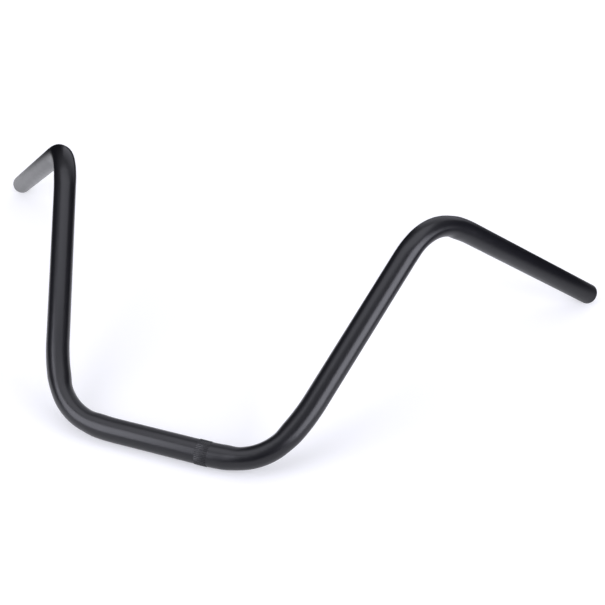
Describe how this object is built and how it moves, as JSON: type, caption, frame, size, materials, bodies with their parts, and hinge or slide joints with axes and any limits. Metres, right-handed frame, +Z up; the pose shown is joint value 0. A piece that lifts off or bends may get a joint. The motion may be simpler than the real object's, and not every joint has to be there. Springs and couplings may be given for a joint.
{
  "type": "motorcycle handlebar",
  "caption": "Steel tube handlebar for a motorcycle: straight clamp section, upright risers and swept-back grip ends bent from one piece, with a knurled band.",
  "frame": {"origin": "middle of the straight centre section, on the tube's axis, where the bar is clamped", "axes": "+X along the centre section, +Y from the centre section towards the grip ends, +Z up from the floor that the bar lies on"},
  "size_m": [0.8216, 0.4588, 0.1925],
  "materials": {
    "black_coat": "satin black powder coat"
  },
  "bodies": {
    "root": {"handlebar": "black_coat"}
  },
  "joints": []
}
